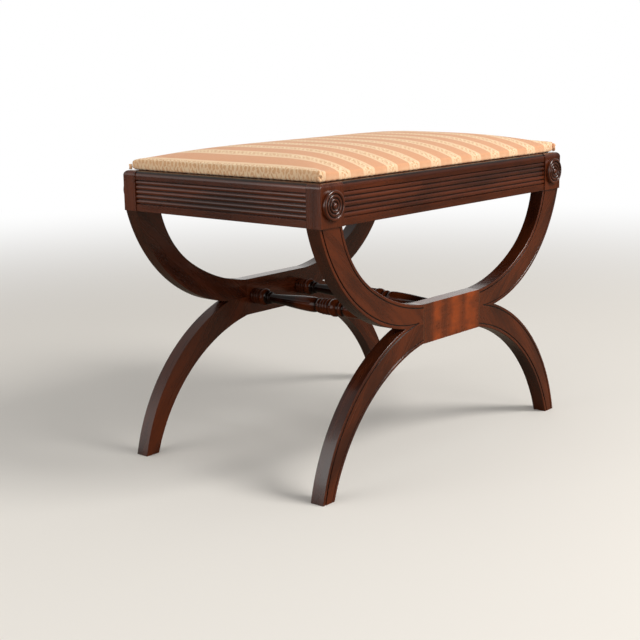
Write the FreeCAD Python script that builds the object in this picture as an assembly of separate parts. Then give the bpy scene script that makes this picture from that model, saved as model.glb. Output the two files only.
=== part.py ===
import FreeCAD, Part
import math
import os

# X-frame stool with a fixed, crowned seat pad. Millimetres, +Z up.
# Origin: on the floor, under the middle of the stool.
# +X runs along the two curved X frames (the long way), +Y from the front X frame to the back one.

Vec = FreeCAD.Vector

# Overall sizes
stool_length = 600.0        # over the corner blocks, along X
stool_depth = 376.0         # over the corner blocks, along Y
frame_height = 430.0        # floor to the top of the seat rails

# Corner blocks at the tops of the arms
block_height = 58.0
block_length = 47.0         # along X
block_proud = 3.0           # the block stands this far outside the arm below it
block_top_round = 6.5
block_edge_round = 1.2

# Curved members
member_thickness = 22.0     # arms, legs and centre blocks, along Y
arm_outer_radius = 224.0
arm_inner_lower_radius = 255.0
arm_inner_slope = 5.0       # degrees from level where the inner curve meets the centre
arm_inner_joint_slope = 34.0  # degrees from level where it passes into the tighter upper curve
leg_outer_radius = 279.0
leg_inner_radius = 268.0
foot_width = 24.5
bead_width = 4.6            # raised bead along both edges of the outward faces
groove_width = 1.5
groove_depth = 1.3
bead_round = 1.1

# Centre of each X frame
centre_length = 144.0
centre_height = 58.0
centre_level = 209.5        # height of the crossing above the floor
crotch_reach = 115.0        # from the middle to where arm and leg part
veneer_thickness = 1.5

# Seat rails
rail_thickness = 22.0
rail_recess = 1.2           # rail faces lie this far behind the block faces
rail_top_band = 13.2
reed_count = 5
reed_pitch = 6.85
reed_depth = 2.0
rail_edge_round = 7.0

# Turned roundels
roundel_radius = 20.5
roundel_base = 3.2          # thickness between the rings
roundel_crest = 5.4         # top of the outer ring
spigot_radius = 5.0
spigot_length = 7.0

# Turned stretchers between the two centre blocks
stretcher_offset = 55.0     # from the middle, along X
stretcher_neck = 7.6
stretcher_vase = 12.0
stretcher_ring = 14.0
stretcher_thin_ring = 12.9
stretcher_bead = 9.8
stretcher_tenon_radius = 7.0
stretcher_tenon_length = 15.0

# Joinery
fit_clearance = 0.15        # on each side of a tenon, dowel, spigot or screw
end_clearance = 0.5         # at the bottom of a mortise or hole
tenon_thickness = 8.0
tenon_length = 15.0
tenon_shoulder = 9.0        # rail tenon set in from the top and bottom of the rail
arm_tenon_height = 13.0
arm_tenon_width = 24.0
arm_tenon_thickness = 10.0
dowel_radius = 4.5
dowel_length = 30.0
crotch_dowel_radius = 3.5
crotch_dowel_length = 20.0

# Corner braces inside the seat rails
brace_leg = 80.0
brace_height = 26.0
brace_drop = 2.0            # brace top below the rail top
screw_radius = 2.2
screw_head_radius = 4.2
screw_head_height = 2.4
brace_screw_length = 28.0
seat_screw_length = 36.0

# Seat pad: plywood board, foam, wadding and a cover turned under the board
pad_inset_x = 6.0           # corners of the pad inside the block faces, at its widest line
pad_inset_y = 4.5
pad_corner_round = 4.5
pad_drawn_in = 2.0          # the sides are pulled in this much half-way along
pad_edge_height = 10.8      # above the rails, where the side has rolled over into the crown
pad_crown_start = 3.0       # inset of that place from the widest line
pad_crown_rise = 23.2       # from there to the highest point
pad_crown_power_x = 6.8     # the higher, the flatter the middle and the steeper the margin
pad_crown_power_y = 3.0
pad_crown_steps = 10
pad_patch_level = 0.975     # share of the rise at which the level patch in the middle begins
pad_patch_round = 85.0      # corners of the outline near the top
cover_thickness = 1.2
cover_turn_under = 36.0
board_thickness = 9.0
board_inset = 3.0           # from the foot of the pad's drawn-in side
board_top_round = 4.0
board_vent_radius = 10.0
board_vent_rows = 2
board_vent_columns = 4
board_vent_pitch = 120.0
wadding_thickness = 4.0
soft_gap = 0.3
dust_cover_thickness = 0.8
dust_cover_gap = 1.0        # inside the seat rails, all round
tack_radius = 0.7
tack_head_radius = 2.5
tack_head_height = 0.7
tack_length = 7.0
tack_inset = 15.0           # tack line inside the rails
tacks_long = 8
tacks_end = 5

# The pad's rolled side, level by level: height above the rails, and inset from its widest line
pad_side_levels = [
    (0.0, 4.5),
    (2.2, 1.2),
    (5.0, 0.0),
    (7.8, 0.6),
    (9.8, 1.9),
]

# Derived places
half_length = stool_length / 2
half_depth = stool_depth / 2
block_depth = member_thickness + block_proud
block_bottom = frame_height - block_height
arm_width = block_length
outer_face = half_depth - block_proud
inner_face = half_depth - block_depth
centre_half = centre_length / 2
centre_top = centre_level + centre_height / 2
centre_bottom = centre_level - centre_height / 2
member_middle = (outer_face + inner_face) / 2
block_centre_x = half_length - block_length / 2
block_centre_z = frame_height - block_height / 2
long_rail_inner = half_depth - rail_recess - rail_thickness
end_rail_inner = half_length - rail_recess - rail_thickness
pad_half_x = half_length - pad_inset_x
pad_half_y = half_depth - pad_inset_y
pad_foot_inset = pad_side_levels[0][1]
board_bottom = frame_height + cover_thickness
board_top = board_bottom + board_thickness
board_half_x = pad_half_x - pad_foot_inset - pad_drawn_in - board_inset
board_half_y = pad_half_y - pad_foot_inset - pad_drawn_in - board_inset
brace_top = frame_height - brace_drop


# Basic solids

def box_between(x0, x1, y0, y1, z0, z1):
    return Part.makeBox(x1 - x0, y1 - y0, z1 - z0, Vec(x0, y0, z0))


def rod(start, direction, radius, length):
    return Part.makeCylinder(radius, length, start, direction)


def turned(profile, base, axis):
    # profile: closed list of (radius, distance along the axis) points, revolved about the axis
    points = [Vec(r, 0, d) for r, d in profile]
    face = Part.Face(Part.makePolygon(points + [points[0]]))
    solid = face.revolve(Vec(0, 0, 0), Vec(0, 0, 1), 360)
    turn = FreeCAD.Rotation(Vec(0, 0, 1), axis)
    solid.Placement = FreeCAD.Placement(base, turn)
    return solid


def mirrored_x(shape):
    return shape.mirror(Vec(0, 0, 0), Vec(1, 0, 0))


def mirrored_y(shape):
    return shape.mirror(Vec(0, 0, 0), Vec(0, 1, 0))


def four_corners(shape):
    # shape is modelled at the front right (+X, -Y)
    return {
        "front_right": shape,
        "front_left": mirrored_x(shape),
        "back_right": mirrored_y(shape),
        "back_left": mirrored_x(mirrored_y(shape)),
    }


def write(name, shape):
    shape.exportStep(os.path.join("parts", name + ".step"))


# Curves of the X frame, in the XZ plane, for the +X side

def circle_centre(start, end, radius, side):
    # centre of the arc of this radius from start to end; side +1 puts it left of the way
    middle = (start + end) * 0.5
    way = end - start
    half_chord = way.Length / 2
    off = math.sqrt(radius ** 2 - half_chord ** 2)
    left = Vec(-way.z, 0, way.x).normalize()
    return middle + left * (off * side)


def arc_edge(centre, start, end):
    radius = (start - centre).Length
    middle = (start + end) * 0.5
    through = centre + (middle - centre).normalize() * radius
    return Part.Arc(start, through, end).toShape()


def line_edge(start, end):
    return Part.LineSegment(start, end).toShape()


def prism(edges, y_from, y_to):
    face = Part.Face(Part.Wire(edges))
    face.translate(Vec(0, y_from, 0))
    return face.extrude(Vec(0, y_to - y_from, 0))


crotch = Vec(crotch_reach, 0, centre_level)
joint_middle = Vec(centre_half, 0, centre_level)
arm_top_outer = Vec(half_length, 0, block_bottom)
arm_top_inner = Vec(half_length - arm_width, 0, block_bottom)
arm_root = Vec(centre_half, 0, centre_top)
leg_root = Vec(centre_half, 0, centre_bottom)
foot_outer = Vec(half_length, 0, 0)
foot_inner = Vec(half_length - foot_width, 0, 0)

arm_outer_centre = circle_centre(crotch, arm_top_outer, arm_outer_radius, 1)
leg_outer_centre = circle_centre(crotch, foot_outer, leg_outer_radius, -1)
leg_inner_centre = circle_centre(leg_root, foot_inner, leg_inner_radius, -1)

slope = math.radians(arm_inner_slope)
arm_lower_centre = Vec(
    arm_root.x - arm_inner_lower_radius * math.sin(slope),
    0,
    arm_root.z + arm_inner_lower_radius * math.cos(slope),
)


def touching_centre(joint, big_centre, through):
    # centre of the circle that touches the bigger one at the joint and passes through a point
    inward = (big_centre - joint).normalize()
    way = through - joint
    return joint + inward * (way.dot(way) / (2 * way.dot(inward)))


joint_slope = math.radians(arm_inner_joint_slope)
arm_inner_joint = arm_lower_centre + Vec(
    arm_inner_lower_radius * math.sin(joint_slope),
    0,
    -arm_inner_lower_radius * math.cos(joint_slope),
)
arm_upper_centre = touching_centre(arm_inner_joint, arm_lower_centre, arm_top_inner)
arm_inner_upper_radius = (arm_upper_centre - arm_inner_joint).Length


def arm_outline():
    return [
        line_edge(joint_middle, crotch),
        arc_edge(arm_outer_centre, crotch, arm_top_outer),
        line_edge(arm_top_outer, arm_top_inner),
        arc_edge(arm_upper_centre, arm_top_inner, arm_inner_joint),
        arc_edge(arm_lower_centre, arm_inner_joint, arm_root),
        line_edge(arm_root, joint_middle),
    ]


def leg_outline():
    return [
        line_edge(joint_middle, leg_root),
        arc_edge(leg_inner_centre, leg_root, foot_inner),
        line_edge(foot_inner, foot_outer),
        arc_edge(leg_outer_centre, foot_outer, crotch),
        line_edge(crotch, joint_middle),
    ]


def heading(centre, point):
    return math.atan2(point.z - centre.z, point.x - centre.x)


def turn_between(centre, start, end):
    # signed angle from start to end, the short way round
    turn = heading(centre, end) - heading(centre, start)
    return (turn + math.pi) % (2 * math.pi) - math.pi


def swept_cut(section, centre, radius, side, start, end, before=0.0, after=0.0):
    # section: (distance in from the curved edge, depth below the outward face) points.
    # It is swept round the centre from start to end, and on by these many degrees at each end.
    # side +1 where the wood lies outside the circle, -1 where it lies inside.
    turn = math.degrees(turn_between(centre, start, end))
    way = 1 if turn > 0 else -1
    first = heading(centre, start) - way * math.radians(before)
    points = []
    for inset, depth in section:
        r = radius + side * inset
        points.append(Vec(
            centre.x + r * math.cos(first), -outer_face + depth, centre.z + r * math.sin(first)))
    face = Part.Face(Part.makePolygon(points + [points[0]]))
    return face.revolve(centre, Vec(0, -1, 0), turn + way * (before + after))


bead_ease = min(bead_round, groove_depth * 0.8, bead_width * 0.4)
groove_inset = bead_width + groove_width / 2


def eased_corner(corner, way):
    # three short chords round a corner of the outward face; way +1 turns down towards the edge
    places = []
    for degrees in (0, 30, 60, 90):
        across = bead_ease * (1 - math.sin(math.radians(degrees)))
        down = bead_ease * (1 - math.cos(math.radians(degrees)))
        places.append((corner + way * across, down))
    return places


edge_section = [(-1.0, bead_ease), (-1.0, -1.0), (bead_ease, -1.0)] + eased_corner(0.0, 1)
groove_section = [(bead_width, groove_depth), (bead_width + groove_width, groove_depth),
                  (bead_width + groove_width, -1.0), (bead_width - bead_ease, -1.0)]
groove_section += eased_corner(bead_width, -1)


def groove_meeting():
    # where the outer grooves of arm and leg run together inside the crotch
    arm_radius = arm_outer_radius - groove_inset
    leg_radius = leg_outer_radius - groove_inset
    way = leg_outer_centre - arm_outer_centre
    span = way.Length
    along = (span ** 2 + arm_radius ** 2 - leg_radius ** 2) / (2 * span)
    across = math.sqrt(max(0.0, arm_radius ** 2 - along ** 2))
    unit = Vec(way).normalize()
    return arm_outer_centre + unit * along + Vec(-unit.z, 0, unit.x) * across


def leg_outer_groove():
    # runs up past the crotch, to where the groove of the arm meets it
    return swept_cut(groove_section, leg_outer_centre, leg_outer_radius, -1,
                     groove_meeting(), foot_outer, 0, 4)


def make_arm():
    arm = prism(arm_outline(), -outer_face, -inner_face)
    outer = (arm_outer_centre, arm_outer_radius, -1)
    upper = (arm_upper_centre, arm_inner_upper_radius, 1, arm_inner_joint, arm_top_inner, 0, 6)
    lower = (arm_lower_centre, arm_inner_lower_radius, 1, arm_inner_joint, arm_root, 0, 6)
    return arm.cut([
        swept_cut(groove_section, *outer, groove_meeting(), arm_top_outer, 0, 4),
        swept_cut(edge_section, *outer, crotch, arm_top_outer, 2, 4),
        swept_cut(groove_section, *upper),
        swept_cut(edge_section, *upper),
        swept_cut(groove_section, *lower),
        swept_cut(edge_section, *lower),
        leg_outer_groove(),
    ])


def make_leg():
    leg = prism(leg_outline(), -outer_face, -inner_face)
    outer = (leg_outer_centre, leg_outer_radius, -1, crotch, foot_outer, 2, 4)
    inner = (leg_inner_centre, leg_inner_radius, 1, leg_root, foot_inner, 4, 4)
    return leg.cut([
        leg_outer_groove(),
        swept_cut(edge_section, *outer),
        swept_cut(groove_section, *inner),
        swept_cut(edge_section, *inner),
    ])


# Joinery cutters and pegs, modelled at the front right

def centre_dowels(gap, extra):
    pegs = []
    for z in (centre_level + centre_height / 4, centre_level - centre_height / 4):
        start = Vec(centre_half - dowel_length / 2 - extra, -member_middle, z)
        pegs.append(rod(start, Vec(1, 0, 0), dowel_radius + gap, dowel_length + 2 * extra))
    return pegs


def crotch_dowel(gap, extra):
    x = (centre_half + dowel_length / 2 + end_clearance + crotch_reach) / 2 - 1
    start = Vec(x, -member_middle, centre_level - crotch_dowel_length / 2 - extra)
    return rod(start, Vec(0, 0, 1), crotch_dowel_radius + gap, crotch_dowel_length + 2 * extra)


def arm_tenon(gap, extra):
    half_w = arm_tenon_width / 2 + gap
    half_t = arm_tenon_thickness / 2 + gap
    return box_between(
        block_centre_x - half_w, block_centre_x + half_w,
        -member_middle - half_t, -member_middle + half_t,
        block_bottom, block_bottom + arm_tenon_height + extra)


def long_rail_tenon(gap, extra):
    middle = half_depth - rail_recess - rail_thickness / 2
    half_t = tenon_thickness / 2 + gap
    start = half_length - block_length
    low = block_bottom + arm_tenon_height + 6
    return box_between(
        start, start + tenon_length + extra,
        -middle - half_t, -middle + half_t,
        low - gap, frame_height - tenon_shoulder + gap)


def end_rail_tenon(gap, extra):
    middle = half_length - rail_recess - rail_thickness / 2
    half_t = tenon_thickness / 2 + gap
    start = -(half_depth - block_depth)
    low = block_bottom + arm_tenon_height + 6
    return box_between(
        middle - half_t, middle + half_t,
        start - tenon_length - extra, start,
        low - gap, frame_height - tenon_shoulder + gap)


def stretcher_tenon(x, gap, extra):
    start = Vec(x, -inner_face, centre_level)
    return rod(start, Vec(0, -1, 0), stretcher_tenon_radius + gap, stretcher_tenon_length + extra)


# Brace screws: one into the long rail, one into the end rail, modelled at the front right

brace_slope = end_rail_inner + long_rail_inner - brace_leg
brace_middle_z = brace_top - brace_height / 2
long_screw_x = end_rail_inner - brace_leg * 0.66
long_screw_head_y = -(brace_slope - long_screw_x) - 5.0
end_screw_y = -(long_rail_inner - brace_leg * 0.56)
end_screw_head_x = brace_slope + end_screw_y + 5.0
seat_screw_x = half_length - pad_inset_x - cover_turn_under - 11.0
seat_screw_y = -(half_depth - pad_inset_y - cover_turn_under - 9.0)


def screw(head, direction, length, gap=0.0):
    profile = [
        (0, 0),
        (screw_head_radius + gap, 0),
        (screw_head_radius + gap, screw_head_height * 0.25),
        (screw_radius + gap, screw_head_height),
        (screw_radius + gap, length * 0.86),
        (0.01, length + gap),
        (0, length + gap),
    ]
    return turned(profile, head, direction)


def brace_screws(gap=0.0):
    return [
        screw(Vec(long_screw_x, long_screw_head_y, brace_middle_z), Vec(0, -1, 0),
              brace_screw_length, gap),
        screw(Vec(end_screw_head_x, end_screw_y, brace_middle_z + 6), Vec(1, 0, 0),
              brace_screw_length, gap),
    ]


def brace_screw_access():
    wide = screw_head_radius + 0.4
    return [
        rod(Vec(long_screw_x, long_screw_head_y, brace_middle_z), Vec(0, 1, 0), wide, 40),
        rod(Vec(end_screw_head_x, end_screw_y, brace_middle_z + 6), Vec(-1, 0, 0), wide, 40),
    ]


def seat_screw(gap=0.0):
    head = Vec(seat_screw_x, seat_screw_y, brace_top - brace_height)
    return screw(head, Vec(0, 0, 1), seat_screw_length, gap)


# Corner blocks and roundels

def block_edges(block, wanted):
    # the top edges on the two outward sides, or the upright edge where those sides meet
    chosen = []
    for edge in block.Edges:
        box = edge.BoundBox
        on_end = box.XMin > half_length - 0.01
        on_face = box.YMax < -half_depth + 0.01
        if wanted == "top" and box.ZMin > frame_height - 0.01 and (on_end or on_face):
            chosen.append(edge)
        if wanted == "upright" and on_end and on_face and box.ZLength > block_height / 2:
            chosen.append(edge)
    return chosen


def rounded_block():
    block = box_between(
        half_length - block_length, half_length,
        -half_depth, -inner_face,
        block_bottom, frame_height)
    block = block.makeFillet(block_edge_round, block_edges(block, "upright"))
    return block.makeFillet(block_top_round, block_edges(block, "top"))


def make_block():
    block = rounded_block()
    spigot_hole = rod(
        Vec(block_centre_x, -half_depth, block_centre_z), Vec(0, 1, 0),
        spigot_radius + fit_clearance, spigot_length + end_clearance)
    return block.cut([
        arm_tenon(fit_clearance, end_clearance),
        long_rail_tenon(fit_clearance, end_clearance),
        end_rail_tenon(fit_clearance, end_clearance),
        spigot_hole,
    ])


def make_roundel():
    # each ring as fractions of the radius and of the outer ring's rise: inner, outer, rise
    rings = [(0.76, 1.0, 1.0), (0.50, 0.73, 0.85), (0.28, 0.47, 0.8)]
    ring_rise = roundel_crest - roundel_base
    button_radius = roundel_radius * 0.24
    edges = []
    start = Vec(0, 0, -spigot_length)
    corner = Vec(spigot_radius, 0, -spigot_length)
    edges.append(line_edge(start, corner))
    edges.append(line_edge(corner, Vec(spigot_radius, 0, 0)))
    edges.append(line_edge(Vec(spigot_radius, 0, 0), Vec(roundel_radius, 0, 0)))
    edges.append(line_edge(Vec(roundel_radius, 0, 0), Vec(roundel_radius, 0, roundel_base)))
    last = Vec(roundel_radius, 0, roundel_base)
    for inner, outer, rise in rings:
        outside = Vec(roundel_radius * outer, 0, roundel_base)
        inside = Vec(roundel_radius * inner, 0, roundel_base)
        if (outside - last).Length > 0.01:
            edges.append(line_edge(last, outside))
        top = Vec((outside.x + inside.x) / 2, 0, roundel_base + ring_rise * rise)
        edges.append(Part.Arc(outside, top, inside).toShape())
        last = inside
    rim = Vec(button_radius, 0, roundel_base)
    edges.append(line_edge(last, rim))
    # the button is a cap of a ball centred on the axis
    button_rise = min(ring_rise * 1.5, button_radius * 0.9)
    ball = (button_radius ** 2 + button_rise ** 2) / (2 * button_rise)
    tip = Vec(0, 0, roundel_base + button_rise)
    half_turn = math.asin(button_radius / ball) / 2
    swell = Vec(ball * math.sin(half_turn), 0, tip.z - ball * (1 - math.cos(half_turn)))
    edges.append(Part.Arc(rim, swell, tip).toShape())
    edges.append(line_edge(tip, start))
    face = Part.Face(Part.Wire(edges))
    solid = face.revolve(Vec(0, 0, 0), Vec(0, 0, 1), 360)
    turn = FreeCAD.Rotation(Vec(0, 0, 1), Vec(0, -1, 0))
    solid.Placement = FreeCAD.Placement(Vec(block_centre_x, -half_depth, block_centre_z), turn)
    return solid


# Centre block and its veneer

def make_centre_block():
    block = box_between(
        -centre_half, centre_half,
        -outer_face + veneer_thickness, -inner_face,
        centre_bottom, centre_top)
    cutters = []
    for peg in centre_dowels(fit_clearance, end_clearance):
        cutters.append(peg)
        cutters.append(mirrored_x(peg))
    for x in (-stretcher_offset, stretcher_offset):
        cutters.append(stretcher_tenon(x, fit_clearance, end_clearance))
    return block.cut(cutters)


def make_veneer():
    return box_between(
        -centre_half, centre_half,
        -outer_face, -outer_face + veneer_thickness,
        centre_bottom, centre_top)


# Reeded seat rails: the outward face is a plain band, reeds, and a plain band

def reeded_section():
    # y = 0 is the outward face, +y goes into the rail, z = 0 is the top
    edges = []
    round_start = Vec(0, rail_edge_round, 0)
    round_end = Vec(0, 0, -rail_edge_round)
    bend = rail_edge_round * (1 - math.sqrt(0.5))
    edges.append(Part.Arc(round_start, Vec(0, bend, -bend), round_end).toShape())
    z = -rail_top_band
    lip = reed_depth * 0.35
    edges.append(line_edge(round_end, Vec(0, 0, z + lip)))
    edges.append(line_edge(Vec(0, 0, z + lip), Vec(0, reed_depth, z)))
    for _ in range(reed_count):
        bottom = z - reed_pitch
        crest = Vec(0, 0, (z + bottom) / 2)
        edges.append(Part.Arc(Vec(0, reed_depth, z), crest, Vec(0, reed_depth, bottom)).toShape())
        z = bottom
    edges.append(line_edge(Vec(0, reed_depth, z), Vec(0, 0, z - lip)))
    edges.append(line_edge(Vec(0, 0, z - lip), Vec(0, 0, -block_height)))
    edges.append(line_edge(Vec(0, 0, -block_height), Vec(0, rail_thickness, -block_height)))
    edges.append(line_edge(Vec(0, rail_thickness, -block_height), Vec(0, rail_thickness, 0)))
    edges.append(line_edge(Vec(0, rail_thickness, 0), round_start))
    return Part.Face(Part.Wire(edges))


def make_long_rail():
    # front rail; the back one is its mirror image
    span = stool_length - 2 * block_length
    face = reeded_section()
    face.translate(Vec(-span / 2, -half_depth + rail_recess, frame_height))
    rail = face.extrude(Vec(span, 0, 0))
    tenon = long_rail_tenon(0, 0)
    rail = rail.fuse([tenon, mirrored_x(tenon)])
    holes = []
    for bit in brace_screws(fit_clearance):
        holes.append(bit)
        holes.append(mirrored_x(bit))
    return rail.cut(holes).removeSplitter()


def make_end_rail():
    # left-hand section turned to face +X; the left rail is its mirror image
    span = stool_depth - 2 * block_depth
    face = reeded_section()
    face.rotate(Vec(0, 0, 0), Vec(0, 0, 1), 90)
    face.translate(Vec(half_length - rail_recess, -span / 2, frame_height))
    rail = face.extrude(Vec(0, span, 0))
    tenon = end_rail_tenon(0, 0)
    rail = rail.fuse([tenon, mirrored_y(tenon)])
    holes = []
    for bit in brace_screws(fit_clearance):
        holes.append(bit)
        holes.append(mirrored_y(bit))
    return rail.cut(holes).removeSplitter()


# Corner braces

def make_brace():
    corner_x = half_length - block_length
    points = [
        Vec(end_rail_inner, -inner_face, 0),
        Vec(corner_x, -inner_face, 0),
        Vec(corner_x, -long_rail_inner, 0),
        Vec(end_rail_inner - brace_leg, -long_rail_inner, 0),
        Vec(end_rail_inner, -(long_rail_inner - brace_leg), 0),
    ]
    face = Part.Face(Part.makePolygon(points + [points[0]]))
    face.translate(Vec(0, 0, brace_top - brace_height))
    brace = face.extrude(Vec(0, 0, brace_height))
    cutters = brace_screws(fit_clearance) + brace_screw_access() + [seat_screw(fit_clearance)]
    return brace.cut(cutters)


# Turned stretcher, along Y between the inner faces of the centre blocks

def bulge(points, y0, y1, base, crest):
    # a rounded ring: a shallow arc of 5 chords from base up to the crest and back
    steps = 8
    for i in range(steps + 1):
        t = i / steps
        points.append((base + (crest - base) * math.sin(math.pi * t) ** 0.6, y0 + (y1 - y0) * t))


def half_stretcher(rings_first):
    # profile from the middle (0) to the shoulder against the centre block
    shoulder = inner_face
    p = []
    groove_r = stretcher_thin_ring - 2.0
    y = 0.0
    if rings_first:
        p.append((stretcher_ring - 1.2, y))
        y += 0.6
        for _ in range(3):
            bulge(p, y, y + 5.6, groove_r, stretcher_thin_ring)
            y += 5.6
    else:
        bulge(p, y, y + 14.5, groove_r, stretcher_ring)
        y += 14.5
        p.append((stretcher_bead - 0.8, y + 1.4))
        y += 2.9
    bulge(p, y, y + 8.0, stretcher_bead, stretcher_vase)
    y += 8.0
    p.append((stretcher_bead, y + 1.6))
    vase_start = y + 2.4
    neck_end = shoulder - 38.4
    steps = 22
    for i in range(steps + 1):
        t = i / steps
        if t < 0.10:
            r = stretcher_vase - 1.6 * (1 - t / 0.10) ** 2
        else:
            s = (t - 0.10) / 0.90
            fall = 0.5 - 0.5 * math.cos(math.pi * min(1.0, s * 1.02))
            r = stretcher_vase - (stretcher_vase - stretcher_neck) * fall ** 0.92
        p.append((r, vase_start + (neck_end - vase_start) * t))
    y = neck_end
    bulge(p, y, y + 5.0, stretcher_neck, stretcher_bead)
    y += 5.0
    p.append((stretcher_neck + 0.4, y + 2.0))
    y += 3.6
    bulge(p, y, y + 12.4, stretcher_bead, stretcher_ring)
    y += 12.4
    for _ in range(3):
        bulge(p, y, y + 5.6, groove_r, stretcher_thin_ring)
        y += 5.6
    p.append((stretcher_thin_ring - 0.6, y))
    p.append((stretcher_thin_ring - 0.6, shoulder))
    p.append((stretcher_tenon_radius, shoulder))
    p.append((stretcher_tenon_radius, shoulder + stretcher_tenon_length))
    return p


def make_stretcher(x):
    back = half_stretcher(True)
    front = half_stretcher(False)
    profile = [(r, d) for r, d in back]
    profile += [(0, back[-1][1]), (0, -front[-1][1])]
    profile += [(r, -d) for r, d in reversed(front)]
    clean = []
    for point in profile:
        if not clean or math.dist(point, clean[-1]) > 0.02:
            clean.append(point)
    return turned(clean, Vec(x, 0, centre_level), Vec(0, 1, 0))


# Seat board and the tacks that hold the dust cover to it

def tack_places():
    line_x = end_rail_inner - tack_inset
    line_y = long_rail_inner - tack_inset
    places = []
    for i in range(tacks_long):
        x = -line_x + 2 * line_x * (i + 0.5) / tacks_long
        places += [(x, -line_y), (x, line_y)]
    for i in range(tacks_end):
        y = -line_y + 2 * line_y * (i + 0.5) / tacks_end
        places += [(-line_x, y), (line_x, y)]
    return places


def tacks(gap=0.0):
    base = frame_height - dust_cover_thickness
    shapes = []
    for x, y in tack_places():
        head = rod(Vec(x, y, base - tack_head_height), Vec(0, 0, 1),
                   tack_head_radius + gap, tack_head_height)
        shank = rod(Vec(x, y, base), Vec(0, 0, 1), tack_radius + gap, tack_length + 2 * gap)
        shapes.append(head.fuse(shank))
    return shapes


def make_board():
    board = box_between(-board_half_x, board_half_x, -board_half_y, board_half_y,
                        board_bottom, board_top)
    upright = [e for e in board.Edges if e.BoundBox.ZLength > board_thickness / 2]
    board = board.makeFillet(pad_corner_round, upright)
    top = [e for e in board.Edges if e.BoundBox.ZMin > board_top - 0.01]
    board = board.makeFillet(min(board_top_round, board_thickness / 2), top)
    holes = tacks(0.1) + list(four_corners(seat_screw(fit_clearance)).values())
    for row in range(board_vent_rows):
        for column in range(board_vent_columns):
            x = (column - (board_vent_columns - 1) / 2) * board_vent_pitch
            y = (row - (board_vent_rows - 1) / 2) * board_vent_pitch
            holes.append(rod(Vec(x, y, board_bottom - 1), Vec(0, 0, 1),
                             board_vent_radius, board_thickness + 2))
    return board.cut(holes)


# Seat pad: stacked outlines with rounded corners and sides pulled in half-way along

def pad_outline(x, y, z, corner, draw):
    # x and y: half sizes; corner: radius of the corners; draw: pull-in half-way along the sides
    r = min(corner, 0.9 * x, 0.9 * y)
    ends = []
    for sx, sy in [(1, 1), (-1, 1), (-1, -1), (1, -1)]:
        along = Vec(sx * x, sy * (y - r), z)
        across = Vec(sx * (x - r), sy * y, z)
        bend = r * (1 - math.sqrt(0.5))
        middle = Vec(sx * (x - bend), sy * (y - bend), z)
        if sx * sy > 0:
            ends.append((along, middle, across))
        else:
            ends.append((across, middle, along))
    edges = []
    for i in range(4):
        start, middle, end = ends[i]
        edges.append(Part.Arc(start, middle, end).toShape())
        following = ends[(i + 1) % 4][0]
        half_way = (end + following) * 0.5
        inward = Vec(-half_way.x, -half_way.y, 0).normalize()
        edges.append(Part.Arc(end, half_way + inward * draw, following).toShape())
    return Part.Wire(edges)


def pad_levels():
    # height above the rails, half sizes, corner radius and pull-in: the rolled side, then the crown
    levels = []
    for height, inset in pad_side_levels:
        levels.append((height, pad_half_x - inset, pad_half_y - inset,
                       pad_corner_round, pad_drawn_in))
    edge_x = pad_half_x - pad_crown_start
    edge_y = pad_half_y - pad_crown_start
    for i in range(pad_crown_steps + 1):
        risen = pad_patch_level * (i / pad_crown_steps) ** 1.5
        left = 1 - risen
        corner = pad_corner_round + (pad_patch_round - pad_corner_round) * risen ** 0.4
        levels.append((pad_edge_height + pad_crown_rise * risen,
                       edge_x * left ** (1 / pad_crown_power_x),
                       edge_y * left ** (1 / pad_crown_power_y),
                       corner, pad_drawn_in * max(0.1, 1 - 2 * risen)))
    return levels


def pad_solid(shrink):
    # the pad's form drawn in on all sides: up at the foot, down at the crown
    widest = min(pad_side_levels, key=lambda level: level[1])[0]
    wires = []
    for height, x, y, corner, draw in pad_levels():
        lift = shrink * max(-1.0, 1 - height / widest)
        wires.append(pad_outline(x - shrink, y - shrink, frame_height + height + lift,
                                 corner, draw))
    return Part.makeLoft(wires, True, True)


def crown_solid(shrink, low):
    # the part of the drawn-in form that lies above this height
    wires = []
    below = None
    for height, x, y, corner, draw in pad_levels():
        level = (frame_height + height - shrink, x - shrink, y - shrink, corner, draw)
        if level[0] > low:
            if not wires:
                share = (low - below[0]) / (level[0] - below[0])
                first = [p + share * (q - p) for p, q in zip(below, level)]
                wires.append(pad_outline(first[1], first[2], low, first[3], first[4]))
            wires.append(pad_outline(level[1], level[2], level[0], level[3], level[4]))
        below = level
    return Part.makeLoft(wires, True, True)


def make_cover():
    outer = pad_solid(0)
    hollow = pad_solid(cover_thickness)
    low = frame_height + cover_thickness
    margin_x = pad_half_x - cover_turn_under
    margin_y = pad_half_y - cover_turn_under
    opening = box_between(-margin_x, margin_x, -margin_y, margin_y,
                          frame_height - 1, low + 1)
    cutters = [hollow, opening] + tacks(0.1)
    return outer.cut(cutters)


def make_foam():
    # the crowned slab of foam on the board
    return crown_solid(cover_thickness + wadding_thickness + 2 * soft_gap, board_top + soft_gap)


def make_wadding():
    # wraps the crown and the edges of the foam and the board
    outer = pad_solid(cover_thickness + soft_gap)
    room = box_between(-board_half_x - soft_gap, board_half_x + soft_gap,
                       -board_half_y - soft_gap, board_half_y + soft_gap,
                       board_bottom - 1, board_top + soft_gap)
    foam_room = crown_solid(cover_thickness + wadding_thickness + soft_gap, board_top)
    return outer.cut(room).cut(foam_room)


def make_dust_cover():
    x = end_rail_inner - dust_cover_gap
    y = long_rail_inner - dust_cover_gap
    low = frame_height - dust_cover_thickness
    sheet = box_between(-x, x, -y, y, low, frame_height)
    corner_x = half_length - block_length - dust_cover_gap
    corner_y = inner_face - dust_cover_gap
    notch = box_between(corner_x, x + 1, -y - 1, -corner_y, low - 1, frame_height + 1)
    cutters = list(four_corners(notch).values()) + tacks(0.1)
    for bit in four_corners(seat_screw(1.0)).values():
        cutters.append(bit)
    return sheet.cut(cutters)


def group(shapes):
    return Part.makeCompound(shapes)


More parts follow.
